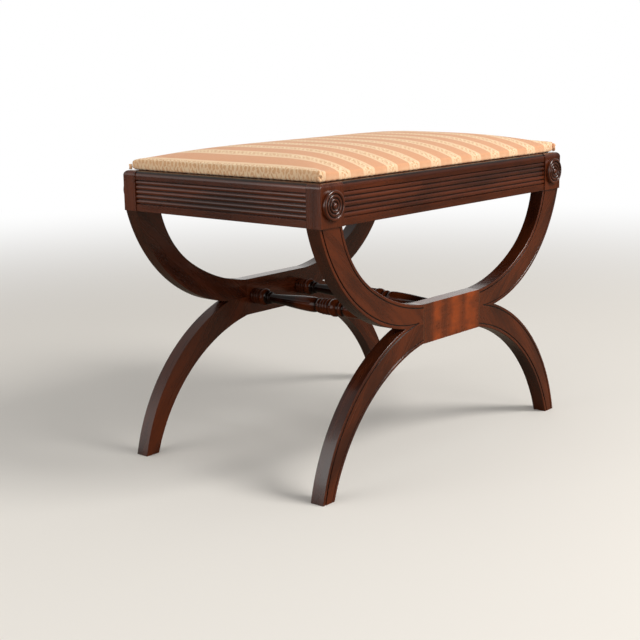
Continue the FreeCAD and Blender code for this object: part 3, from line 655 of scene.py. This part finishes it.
class STOOL_OT_stage(bpy.types.Operator):
    """Lay the floor, light the room and set the camera"""
    bl_idname = "stool.stage"
    bl_label = "Floor, lights and camera"

    def execute(self, context):
        settings = context.scene.stool_stage
        self.lay_floor(settings)
        self.light_room(context, settings)
        self.set_camera(context, settings)
        return {"FINISHED"}

    def lay_floor(self, settings):
        """A pale floor that fades into the white background, and lights the stool less."""
        made = Finish("Pale floor")
        far = made.vector("LENGTH", made.place(), output="Value")
        glow = made.wire("ShaderNodeEmission", {"Color": WHITE, "Strength": 1.0})
        camera_ray = made.wire("ShaderNodeLightPath", output="Is Camera Ray")
        made.set(Roughness=0.85, Specular_IOR_Level=0.2, Base_Color=made.blend(
            camera_ray, settings.bounce_colour, settings.floor_colour))
        made.feed(made.out.inputs["Surface"], made.wire("ShaderNodeMixShader", {
            0: made.step(far, 0.9, 3.2) * camera_ray, 1: made.shader.outputs[0], 2: glow}))
        size = 12.0
        mesh = bpy.data.meshes.new("floor")
        mesh.from_pydata([(-size, -size, 0), (size, -size, 0), (size, size, 0),
                          (-size, size, 0)], [], [(0, 1, 2, 3)])
        mesh.materials.append(made.material)
        new_object("floor", mesh)

    def light_room(self, context, settings):
        """An even room, a white background, and a bright wall behind in what is mirrored."""
        world = bpy.data.worlds.new("Room")
        context.scene.world = world
        world.use_nodes = True
        world.node_tree.nodes.clear()
        room = Nodes(world.node_tree)
        out = room.add("ShaderNodeOutputWorld")
        rays = room.add("ShaderNodeLightPath").outputs
        _, y, z = room.split(room.wire("ShaderNodeTexCoord", output="Generated"))
        behind = room.step(y, -0.55, 0.45, 0.16, 0.95) * room.step(z, 0.25, 0.62, 1.0, 0.38)
        even, mirrored, white = (
            room.wire("ShaderNodeBackground", {"Color": colour, "Strength": strength})
            for colour, strength in (((1.0, 0.985, 0.96, 1), settings.sky),
                                     ((1.0, 0.98, 0.955, 1), behind), (WHITE, 1.0)))
        seen = room.wire("ShaderNodeMixShader", {
            0: rays["Is Glossy Ray"], 1: even, 2: mirrored})
        room.feed(out.inputs["Surface"], room.wire("ShaderNodeMixShader", {
            0: rays["Is Camera Ray"], 1: seen, 2: white}))
        for name, place, size, power, colour in LAMPS:
            lamp = bpy.data.lights.new(name, "AREA")
            lamp.shape = "DISK"
            lamp.size = size
            lamp.energy = getattr(settings, power)
            lamp.color = colour
            holder = new_object(name, lamp)
            holder.location = place
            holder.rotation_mode = "QUATERNION"
            aim = Vector((0.0, 0.0, 0.25)) - Vector(place)
            holder.rotation_quaternion = aim.to_track_quat("-Z", "Y")

    def set_camera(self, context, settings):
        flat = math.cos(CAMERA_DIP)
        back = Vector((math.sin(CAMERA_TURN) * flat, -math.cos(CAMERA_TURN) * flat,
                       math.sin(CAMERA_DIP)))
        level = (-back).cross(Vector((0, 0, 1))).normalized()
        upright = level.cross(-back)
        right = level * math.cos(CAMERA_ROLL) + upright * math.sin(CAMERA_ROLL)
        up = upright * math.cos(CAMERA_ROLL) - level * math.sin(CAMERA_ROLL)
        lens = bpy.data.cameras.new("camera")
        lens.sensor_width = 36.0
        lens.lens = settings.focal_length
        lens.clip_start, lens.clip_end = 0.05, 60.0
        camera = new_object("camera", lens)
        camera.matrix_world = Matrix(
            [(right[i], up[i], back[i], CAMERA_PLACE[i]) for i in range(3)] + [(0, 0, 0, 1)])
        context.scene.camera = camera
        context.scene.view_settings.view_transform = "Standard"


# Pieces

class STOOL_OT_polish(bpy.types.Operator):
    """Polish the arms, legs, blocks, rails, roundels and stretchers"""
    bl_idname = "stool.polish"
    bl_label = "Polished mahogany"

    def execute(self, context):
        settings = context.scene.stool_polish

        def make(title, grain, node_name=None, axis=1, depth=0.002, **more):
            hollows = None
            if node_name:
                low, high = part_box(node_name)
                face = max(abs(low[axis]), abs(high[axis]))
                hollows = lambda nodes: nodes.below_face(axis, face)
            return polished_mahogany(title, grain, settings, hollows, depth, **more)

        # the rails' reeds, the roundels' rings and the beads of arms and legs get painted shade, with some
        # real dark polish, in their grooves
        finish(make("corner blocks", "upright"),
               *[end + "_" + side + "_corner_block" for end in ENDS for side in SIDES])
        finish(make("centre blocks", "long"), *[end + "_centre_block" for end in ENDS])
        finish(make("long rails", "long", "front_rail"), *[end + "_rail" for end in ENDS])
        finish(make("end rails", "cross", "left_end_rail", 0),
               *[side + "_end_rail" for side in SIDES])
        finish(make("roundels", "upright", "front_left_roundel", depth=0.0034),
               *[end + "_" + side + "_roundel" for end in ENDS for side in SIDES])
        for part, grain in (("arm", "rising_"), ("leg", "falling_")):
            for side in SIDES:
                made = make(side + " " + part + "s", grain + side, "front_left_" + part,
                            depth=0.0012, ease=0.45, sides=0.5)
                finish(made, *[end + "_" + side + "_" + part for end in ENDS])
        low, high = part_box("right_stretcher")
        middle = (low + high) / 2
        # painted shade: the vases and necks of the stretchers, thinner than the rings, are painted nearly
        # black as if in the seat's shadow
        polished_mahogany(
            "stretchers", "cross", settings,
            lambda nodes: nodes.below_turning(middle.x, middle.z, 0.0128),
            depth=0.0035, ease=0.3, gloss=1.8, shine=0.35)
        return {"FINISHED"}


def turning_group():
    """A turned stretcher along Y: a cylinder whose radius follows the rings and vases."""
    group = Group("Turned Stretcher", {
        "Geometry": "Geometry", "Centre X": 0.055, "Centre Z": 0.2095, "Length": 0.356,
        "Shoulder": 0.163, "Tenon": 0.007, "Neck": 0.0076, "Vase": 0.012, "Ring": 0.014,
        "Thin Ring": 0.0129, "Bead": 0.0098, "Groove": 0.0109, "Steps Round": 40,
        "Steps Along": 620, "Material": "Material",
    }, {"Geometry": "Geometry"}, "GeometryNodeTree")
    given = group.given
    rod = group.wire("GeometryNodeMeshCylinder", {
        "Vertices": given["Steps Round"], "Side Segments": given["Steps Along"],
        "Radius": 1.0, "Depth": given["Length"]}, "Mesh")
    x, y, z = group.split(group.wire("GeometryNodeInputPosition"))
    away = abs(z)
    end = given["Shoulder"] - away
    groove, bead, neck, ring = given["Groove"], given["Bead"], given["Neck"], given["Ring"]
    radius = groove

    # all places are in metres, from the middle (away) or from the shoulder (end)
    def change(where, was, now):
        nonlocal radius
        radius = where * (now - was) + radius

    def bulge(place, start, width, base, crest, only=None):
        t = group.line(place, start, start + width)
        swell = group.calc("MAXIMUM", group.calc("SINE", t * math.pi), 0.0)
        swell = group.calc("POWER", swell, 0.6)
        if only is not None:
            swell = swell * only
        change(swell, base, crest)

    back = z > 0.0
    for k in range(3):
        bulge(away, 0.0006 + 0.0056 * k, 0.0056, groove, given["Thin Ring"], back)
    bulge(away, 0.0, 0.0145, groove, ring, 1.0 - back)
    change(away > 0.0174, groove, bead)
    bulge(away, 0.0174, 0.0080, bead, given["Vase"])
    change(away > 0.0278, bead, neck)
    long = group.line(away, 0.0278, 0.1246)
    lip = group.line(long, 0.10, 0.0)
    fall = group.calc("COSINE", group.line(long, 0.10, 1.0) * math.pi) * 0.5 + 0.5
    vase = lip * lip * -0.0016 + (given["Vase"] - neck) * fall
    radius = vase * (away > 0.0278) + radius
    # from the shoulder inwards: three thin rings, a ring, the neck and a bead
    bulge(end, 0.0334, 0.0050, neck, bead)
    change(end < 0.0298, neck, bead)
    bulge(end, 0.0174, 0.0124, bead, ring)
    change(end < 0.0174, bead, groove)
    for k in range(3):
        bulge(end, 0.0006 + 0.0056 * k, 0.0056, groove, given["Thin Ring"])
    change(end < 0.0, groove, given["Tenon"])
    place = group.wire("ShaderNodeCombineXYZ", {
        0: x * radius + given["Centre X"], 1: z, 2: given["Centre Z"] - y * radius})
    give_shape(group, group.wire("GeometryNodeSetPosition", {
        "Geometry": rod, "Position": place}))
    return group


class STOOL_OT_stretchers(bpy.types.Operator):
    """Turn the two stretchers between the X frames"""
    bl_idname = "stool.stretchers"
    bl_label = "Turned stretchers"

    def execute(self, context):
        settings = context.scene.stool_turning
        material = bpy.data.materials["Polished mahogany, stretchers"]
        group = turning_group()
        for side in SIDES:
            low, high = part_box(side + "_stretcher")
            piece = grow(side + "_turned_stretcher", group, {
                "Centre X": (low.x + high.x) / 2, "Centre Z": (low.z + high.z) / 2,
                "Length": high.y - low.y, "Neck": settings.neck, "Vase": settings.vase,
                "Ring": settings.ring, "Thin Ring": settings.thin_ring,
                "Bead": settings.bead, "Steps Along": 620,
            }, material)
            smooth(piece, lambda face: len(face.vertices) == 4)
            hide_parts(side + "_stretcher")
        return {"FINISHED"}


class STOOL_OT_veneer(bpy.types.Operator):
    """Lay the figured veneer on the two centre blocks"""
    bl_idname = "stool.veneer"
    bl_label = "Centre veneers"

    def execute(self, context):
        finish(figured_veneer(context.scene.stool_veneer),
               *[end + "_centre_veneer" for end in ENDS])
        return {"FINISHED"}


class STOOL_OT_inside(bpy.types.Operator):
    """Finish the braces, dowels, board and screws inside the seat"""
    bl_idname = "stool.inside"
    bl_label = "Braces, board and screws"

    def execute(self, context):
        finish(plain_wood("Plain softwood", linear(142, 104, 66), linear(184, 146, 100), 0.007),
               "frame_dowels",
               *[end + "_" + side + "_corner_brace" for end in ENDS for side in SIDES])
        finish(plain_wood("Plywood", linear(178, 142, 98), linear(205, 172, 128), 0.014),
               "seat_board")
        finish(steel("Screw steel", linear(168, 164, 156)), "brace_screws",
               "seat_fixing_screws")
        return {"FINISHED"}


def edge_level(x, y, settings, inset=0.0):
    """Height of the roll over the rails: fuller along both ends, lower at the back corners."""
    at_end = np.minimum(np.abs(x) / (HALF_X - inset), 1)
    at_back = np.clip(y / (HALF_Y - inset), 0, 1)
    return (settings.edge_height + settings.end_roll * at_end ** 14
            - settings.corner_drop * at_end ** 30 * at_back ** 24)


def pad_height(x, y, settings):
    """Height of the crown above the rails at these places."""
    at_end = np.abs(np.clip(x / (HALF_X - CROWN_INSET), -1, 1))
    at_side = np.abs(np.clip(y / (HALF_Y - CROWN_INSET), -1, 1))
    fall = (1 - at_end ** 6.8) * (1 - at_side ** (3.0 + 5.5 * at_end ** 8))
    return edge_level(x, y, settings, CROWN_INSET) + settings.crown_rise * fall


def outline(half_x, half_y, corner, count):
    """Points round a rectangle with rounded corners, counter-clockwise, evenly spread."""
    ways = [(1, 0), (0, 1), (-1, 0), (0, -1)]
    centres = [(sx * (half_x - corner), sy * (half_y - corner))
               for sx, sy in ((1, 1), (-1, 1), (-1, -1), (1, -1))]
    straight = [2 * (half_y - corner), 2 * (half_x - corner)] * 2
    arc = math.pi * corner / 2
    points = []
    for i in range(count):
        s = (sum(straight) + 4 * arc) * i / count
        for side in range(4):
            if s <= straight[side]:
                (cx, cy), (ox, oy), (dx, dy) = centres[side - 1], ways[side], ways[side - 3]
                points.append((cx + corner * ox + dx * s, cy + corner * oy + dy * s))
                break
            s -= straight[side]
            if s <= arc:
                (cx, cy), angle = centres[side], side * math.pi / 2 + s / corner
                points.append((cx + corner * math.cos(angle), cy + corner * math.sin(angle)))
                break
            s -= arc
    return np.array(points)


class STOOL_OT_seat(bpy.types.Operator):
    """Upholster the seat: crowned form, cloth simulation, cloth map and edge puckers"""
    bl_idname = "stool.seat"
    bl_label = "Upholstered seat"

    def execute(self, context):
        settings = context.scene.stool_seat
        cloth = striped_cloth(settings)
        pad = self.form(settings)
        way = pad.modifiers.new("remesh", "REMESH")
        way.mode = "VOXEL"
        way.voxel_size = settings.voxel
        bake(pad, cloth)
        self.simulate(context, pad, settings)
        way = pad.modifiers.new("smooth", "SUBSURF")
        way.levels = way.render_levels = 1
        bake(pad, cloth)
        self.shape(pad.data, settings)
        self.map_cloth(pad.data, settings)
        folds = self.fold_corners()
        bake(folds, cloth)
        with context.temp_override(active_object=pad, selected_objects=[pad, folds],
                                   selected_editable_objects=[pad, folds]):
            bpy.ops.object.join()
        smooth(pad)
        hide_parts("seat_cover", "seat_wadding", "seat_foam")
        return {"FINISHED"}

    def form(self, settings):
        """The closed form before it is blown up: a rolled side, then the crown."""
        count, crown_rings, rings = 420, 46, []
        # share of the roll's height, and how far in from the pad's side
        for share, inset in ((0.0, 0.0045), (0.2, 0.0012), (0.46, 0.0), (0.72, 0.0006),
                             (0.91, 0.0019)):
            ring = outline(HALF_X - inset, HALF_Y - inset, PAD_CORNER, count)
            level = RAIL_TOP + edge_level(ring[:, 0], ring[:, 1], settings) * share
            rings.append(np.column_stack([ring, level]))
        for k in range(crown_rings):
            inset = CROWN_INSET + (HALF_Y - 0.009) * (k / (crown_rings - 1))
            corner = min(PAD_CORNER + inset * 0.4, (HALF_Y - inset) * 0.9)
            ring = outline(HALF_X - inset, HALF_Y - inset, corner, count)
            level = RAIL_TOP + pad_height(ring[:, 0], ring[:, 1], settings)
            rings.append(np.column_stack([ring, level]))
        last = (len(rings) - 1) * count
        faces = [(a + i, a + (i + 1) % count, a + count + (i + 1) % count, a + count + i)
                 for a in range(0, last, count) for i in range(count)]
        faces += [tuple(reversed(range(count))), tuple(range(last, last + count))]
        return new_piece("striped_seat", np.vstack(rings), faces)

    def simulate(self, context, pad, settings):
        """Blows the cover up a little under even pressure, without weight."""
        before = read(pad.data.vertices, "co", 3)
        way = pad.modifiers.new("cloth", "CLOTH")
        for name, value in {
                "quality": 6, "mass": 0.3, "tension_stiffness": 25,
                "compression_stiffness": 25, "shear_stiffness": 8, "bending_stiffness": 0.6,
                "use_pressure": True, "uniform_pressure_force": 4.0}.items():
            setattr(way.settings, name, value)
        way.settings.effector_weights.gravity = 0.0
        way.collision_settings.use_collision = False
        way.point_cache.frame_start, way.point_cache.frame_end = 1, 20
        for number in range(1, 21):
            context.scene.frame_set(number)
        blown = pad.evaluated_get(context.evaluated_depsgraph_get())
        move = read(blown.to_mesh().vertices, "co", 3) - before
        blown.to_mesh_clear()
        pad.modifiers.clear()
        context.scene.frame_set(1)
        far = np.linalg.norm(move, axis=1)
        move *= (np.minimum(1, settings.swell / np.maximum(far, 1e-9)))[:, None]
        rest = np.clip((before[:, 2] - RAIL_TOP) / 0.004, 0, 1)[:, None]
        pad.data.vertices.foreach_set("co", (before + move * rest).ravel())
        pad.data.update()

    def shape(self, mesh, settings):
        """Sets the crown back to its height, and adds pulls and puckers."""
        x, y, z = read(mesh.vertices, "co", 3).T.copy()
        on_top = np.clip((z - RAIL_TOP - 0.006) / 0.006, 0, 1)
        gap = np.clip(RAIL_TOP + pad_height(x, y, settings) - z, -0.004, 0.004)
        z += gap * on_top * 0.85
        # soft dips where the cover is pulled towards the corners
        for sx, sy in ((-1, -1), (-1, 1), (1, -1), (1, 1)):
            dx, dy = HALF_X - sx * x, HALF_Y - sy * y
            reach = np.hypot(dx, dy)
            angle = np.arctan2(dy, np.maximum(dx, 1e-6))
            fade = np.exp(-(reach / 0.05) ** 2) * np.clip(reach / 0.010, 0, 1)
            z += 0.00055 * np.sin(angle * 11 + sx + 2 * sy) * fade * on_top
        # puckers along the sides, and an uneven lower edge
        around = np.where(np.abs(x) / HALF_X > np.abs(y) / HALF_Y, y, x)
        side = np.exp(-((z - RAIL_TOP - 0.004) / 0.006) ** 2)
        near_x, near_y = np.abs(x) > HALF_X - 0.010, np.abs(y) > HALF_Y - 0.010
        push = sum(share * np.sin(around * 2 * math.pi / length + start)
                   for share, length, start in ((1, 0.023, 0), (0.6, 0.0131, 1.3),
                                                (0.5, 0.061, 0.4))) * 0.00028 * side
        x += np.where(near_x, np.sign(x) * push, 0)
        y += np.where(near_y, np.sign(y) * push, 0)
        lower = np.clip(1 - (z - RAIL_TOP) / 0.004, 0, 1)
        lift = 0.5 + 0.5 * np.sin(around * 2 * math.pi / 0.0112 + 0.7 * np.sin(around * 37))
        z += np.where(near_x | near_y, 0.0009 * lift * lower, 0)
        z = np.maximum(z, RAIL_TOP + 0.0002)
        x = np.clip(x, -HALF_X - 0.0015, HALF_X + 0.0015)
        y = np.clip(y, -HALF_Y - 0.0015, HALF_Y + 0.0015)
        mesh.vertices.foreach_set("co", np.column_stack([x, y, z]).ravel())
        mesh.update()

    def map_cloth(self, mesh, settings):
        """A UV map in metres: the stripes run on over the ends and down the front and back."""
        centre_x, centre_y, _ = np.abs(read(mesh.polygons, "center", 3)).T
        end_side = (HALF_X - centre_x) < (HALF_Y - centre_y)
        as_end = end_side | (centre_x > HALF_X - 0.009)
        as_end = np.repeat(as_end, read(mesh.polygons, "loop_total", kind=int))
        corners = read(mesh.loops, "vertex_index", kind=int)
        x, y, z = read(mesh.vertices, "co", 3)[corners].T
        drop = np.maximum(0, RAIL_TOP + edge_level(x, y, settings) - z)
        u = np.where(as_end, np.sign(x) * (np.abs(x) + 0.6 * drop), x)
        v = np.where(as_end, y, np.sign(y) * (np.abs(y) + drop))
        layer = mesh.uv_layers.get("cloth") or mesh.uv_layers.new(name="cloth")
        layer.data.foreach_set("uv", np.column_stack([u, v]).ravel())

    def fold_corners(self):
        """The rolled pleat on each corner: a ring of gathered cloth round a deep dimple."""
        rings, spokes = 26, 56
        radius, back, corner_u = 0.0062, -0.0046, 0.3008
        half_arc = PAD_CORNER * math.pi / 4
        share, angle = np.meshgrid(np.arange(rings + 1) / rings,
                                   2 * math.pi * np.arange(spokes) / spokes, indexing="ij")
        points, uvs, faces = [], [], []
        for sx, sy in ((-1, -1), (-1, 1), (1, -1), (1, 1)):
            size, level = (0.62, 0.0048) if sy > 0 else (1.0, 0.0078)
            far = radius * size * share * (1 + 0.05 * np.sin(2 * angle + sx + sy))
            along, rise = far * np.cos(angle) * 0.84, far * np.sin(angle) * 1.02
            ring = far - 0.0006 * (angle / (2 * math.pi) - 0.5)
            out = -0.0008 + 0.0011 * np.exp(-((ring - 0.0036) / 0.0016) ** 2)
            out -= 0.0026 * np.exp(-(ring / 0.0011) ** 2)
            out += 0.00022 * np.sin(angle * 5 + 2 * sx) * share * (1 - share) * 4
            out -= 0.0016 * np.maximum(0.0, (share - 0.78) / 0.22) ** 1.5
            # the ring lies on the pad's outline, which goes round its corner and on
            turn = np.clip(math.pi / 4 + along / PAD_CORNER, 0, math.pi / 2)
            past = np.maximum(0, np.abs(along) - half_arc)
            base = len(points) * share.size
            for depth in (out, back):
                x = HALF_X - PAD_CORNER + (PAD_CORNER + depth) * np.cos(turn)
                y = HALF_Y - PAD_CORNER + (PAD_CORNER + depth) * np.sin(turn)
                x, y = x - np.where(along > 0, past, 0), y - np.where(along < 0, past, 0)
                points.append(np.stack([sx * x, sy * y, RAIL_TOP + level + rise], axis=-1))
                uvs.append(np.stack([sx * corner_u + 0.0006 * np.cos(angle),
                                     sy * (HALF_Y + far * np.sin(angle))], axis=-1))
            flip = sx * sy > 0
            for k in range(spokes):
                n = (k + 1) % spokes
                for layer in (0, 1):
                    for r in range(rings):
                        a = base + layer * share.size + r * spokes
                        face = (a + k, a + n, a + spokes + n, a + spokes + k)
                        faces.append(face if flip == bool(layer) else face[::-1])
                a = base + rings * spokes
                face = (a + k, a + n, a + share.size + n, a + share.size + k)
                faces.append(face[::-1] if flip else face)
        points, uvs = (np.concatenate([part.reshape(-1, part.shape[-1]) for part in parts])
                       for parts in (points, uvs))
        mesh = bpy.data.meshes.new("folds")
        mesh.from_pydata(points.tolist(), [], faces)
        layer = mesh.uv_layers.new(name="cloth")
        layer.data.foreach_set("uv", uvs[read(mesh.loops, "vertex_index", kind=int)].ravel())
        folds = new_object("folds", mesh)
        folds.modifiers.new("weld", "WELD").merge_threshold = 0.000001
        return folds


class STOOL_OT_lining(bpy.types.Operator):
    """Hang the black lining under the seat"""
    bl_idname = "stool.lining"
    bl_label = "Lining under the seat"

    def execute(self, context):
        sag = context.scene.stool_underside.sag
        low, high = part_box("dust_cover")
        half_x, half_y = high.x, high.y
        # the lining is cut out round the corner blocks
        block_low, block_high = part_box("front_right_corner_block")
        notch_x, notch_y = block_low.x - 0.001, -block_high.y - 0.001
        across, deep, thick = 92, 56, 0.0006
        index, top = {}, []
        for j in range(deep + 1):
            for i in range(across + 1):
                x = -half_x + 2 * half_x * i / across
                y = -half_y + 2 * half_y * j / deep
                if abs(x) > notch_x and abs(y) > notch_y:
                    continue
                fx, fy = 1 - (x / half_x) ** 2, 1 - (y / half_y) ** 2
                pull = 0.00035 * (math.sin(x * 2 * math.pi / 0.066) * (1 - fy) ** 2
                                  + math.sin(y * 2 * math.pi / 0.062) * (1 - fx) ** 2)
                index[i, j] = len(top)
                top.append((x, y, high.z - 0.0001 - sag * fx * fy - abs(pull)))
        count = len(top)
        faces, used = [], {}
        for i, j in index:
            ring = [(i, j), (i + 1, j), (i + 1, j + 1), (i, j + 1)]
            if all(p in index for p in ring):
                a = [index[p] for p in ring]
                faces += [tuple(a), tuple(count + p for p in reversed(a))]
                used.update(dict.fromkeys(zip(a, a[1:] + a[:1])))
        faces += [(e, s, count + s, count + e) for s, e in used if (e, s) not in used]
        bottom = [(x, y, z - thick) for x, y, z in top]
        piece = new_piece("lining", top + bottom, faces)
        piece.data.materials.append(lining_cloth())
        smooth(piece, lambda face: abs(face.normal.z) > 0.5)
        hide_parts("dust_cover")
        return {"FINISHED"}


class STOOL_OT_tacks(bpy.types.Operator):
    """Drive the tacks that hold the lining"""
    bl_idname = "stool.tacks"
    bl_label = "Lining tacks"

    def execute(self, context):
        group = Group("Tack Heads", {
            "Geometry": "Geometry", "Radius": 0.0025, "Height": 0.0008, "Material": "Material",
        }, {"Geometry": "Geometry"}, "GeometryNodeTree")
        ball = group.wire("GeometryNodeMeshUVSphere", {
            "Segments": 20, "Rings": 12, "Radius": 1.0}, "Mesh")
        size = group.wire("ShaderNodeCombineXYZ", {
            0: group.given["Radius"], 1: group.given["Radius"], 2: group.given["Height"]})
        spots = group.wire("GeometryNodeMeshToPoints", {0: group.given["Geometry"]})
        give_shape(group, group.wire("GeometryNodeInstanceOnPoints", {
            "Points": spots, "Instance": ball, "Scale": size}))
        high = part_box("dust_cover_tacks")[1]
        inset, along, across = 0.0025, 8, 5
        line_x, line_y = high.x - inset, high.y - inset
        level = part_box("dust_cover")[0].z - 0.0001
        points = []
        for i in range(along):
            x = -line_x + 2 * line_x * (i + 0.5) / along
            points += [(x, -line_y, level), (x, line_y, level)]
        for i in range(across):
            y = -line_y + 2 * line_y * (i + 0.5) / across
            points += [(-line_x, y, level), (line_x, y, level)]
        piece = grow("tack_heads", group, {
            "Radius": context.scene.stool_underside.tack_radius, "Height": 0.0008,
        }, steel("Blued tack steel", linear(70, 70, 76)), points)
        smooth(piece)
        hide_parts("dust_cover_tacks")
        return {"FINISHED"}


class STOOL_PT_panel(bpy.types.Panel):
    """Pieces and finishes of the stool"""
    bl_idname = "STOOL_PT_panel"
    bl_label = "X-frame stool"
    bl_space_type = "VIEW_3D"
    bl_region_type = "UI"
    bl_category = "Stool"

    def draw(self, context):
        for title, name, group, operators in SECTIONS:
            box = self.layout.box()
            box.label(text=title)
            for prop in group.__annotations__:
                box.prop(getattr(context.scene, name), prop)
            for operator in operators:
                box.operator(operator.bl_idname)


# title in the panel, name of the settings, their class, and the operators
SECTIONS = [
    ("Stage", "stool_stage", StoolStageSettings, [STOOL_OT_stage]),
    ("Frame", "stool_polish", StoolPolishSettings, [STOOL_OT_polish, STOOL_OT_inside]),
    ("Stretchers", "stool_turning", StoolTurningSettings, [STOOL_OT_stretchers]),
    ("Centre panels", "stool_veneer", StoolVeneerSettings, [STOOL_OT_veneer]),
    ("Seat", "stool_seat", StoolSeatSettings, [STOOL_OT_seat]),
    ("Underside", "stool_underside", StoolUndersideSettings, [STOOL_OT_lining, STOOL_OT_tacks]),
]

CLASSES = ([group for _, _, group, _ in SECTIONS]
           + [operator for *_, operators in SECTIONS for operator in operators]
           + [STOOL_PT_panel])


def register():
    for item in CLASSES:
        bpy.utils.register_class(item)
    for _, name, group, _ in SECTIONS:
        setattr(bpy.types.Scene, name, bpy.props.PointerProperty(type=group))


def unregister():
    for _, name, _, _ in SECTIONS:
        delattr(bpy.types.Scene, name)
    for item in reversed(CLASSES):
        bpy.utils.unregister_class(item)


def main():
    register()
    wood_group()
    edge_group()
    hollow_group()
    weave_group()
    bpy.ops.stool.stage()
    bpy.ops.stool.polish()
    bpy.ops.stool.stretchers()
    bpy.ops.stool.veneer()
    bpy.ops.stool.inside()
    bpy.ops.stool.seat()
    bpy.ops.stool.lining()
    bpy.ops.stool.tacks()


if __name__ == "__main__":
    main()
